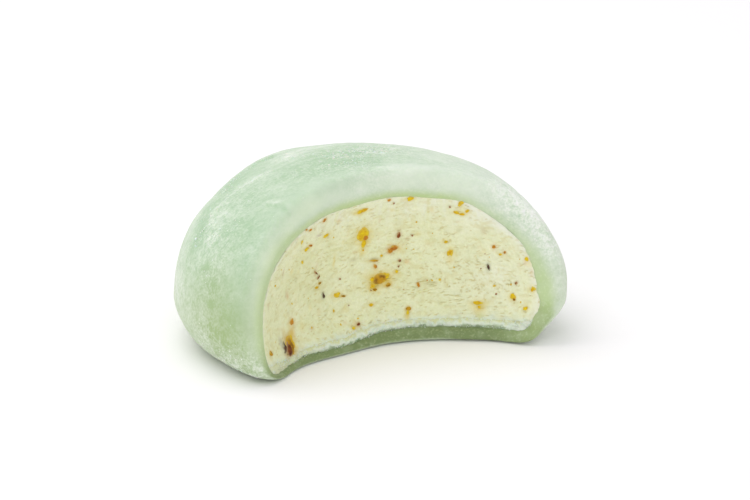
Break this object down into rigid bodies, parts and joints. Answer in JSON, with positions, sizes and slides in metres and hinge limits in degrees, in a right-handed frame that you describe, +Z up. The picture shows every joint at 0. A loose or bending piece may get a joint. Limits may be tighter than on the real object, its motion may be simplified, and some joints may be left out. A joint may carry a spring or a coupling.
{
  "type": "mochi rice cake",
  "caption": "Round rice-dough sweet with a flat base, dusted with starch and filled with speckled ice cream, with a bite taken out of its front.",
  "frame": {"origin": "centre of the round base, on the surface it rests on", "axes": "+Z up, the bite opens towards -Y, +X to the right of someone who faces the bite"},
  "size_m": [0.0447, 0.0366, 0.0211],
  "materials": {
    "rice_dough": "soft stretched rice dough, pale mint green, matt with white starch dust",
    "ice_cream": "dense ice cream, pale yellow green, matt and finely torn, with yellow, orange and dark brown specks",
    "frosted_dough": "frosted crumbly layer, near white with a green cast"
  },
  "bodies": {
    "root": {"rice_skin": "rice_dough", "ice_cream": "ice_cream", "frost_layer": "frosted_dough"}
  },
  "joints": []
}
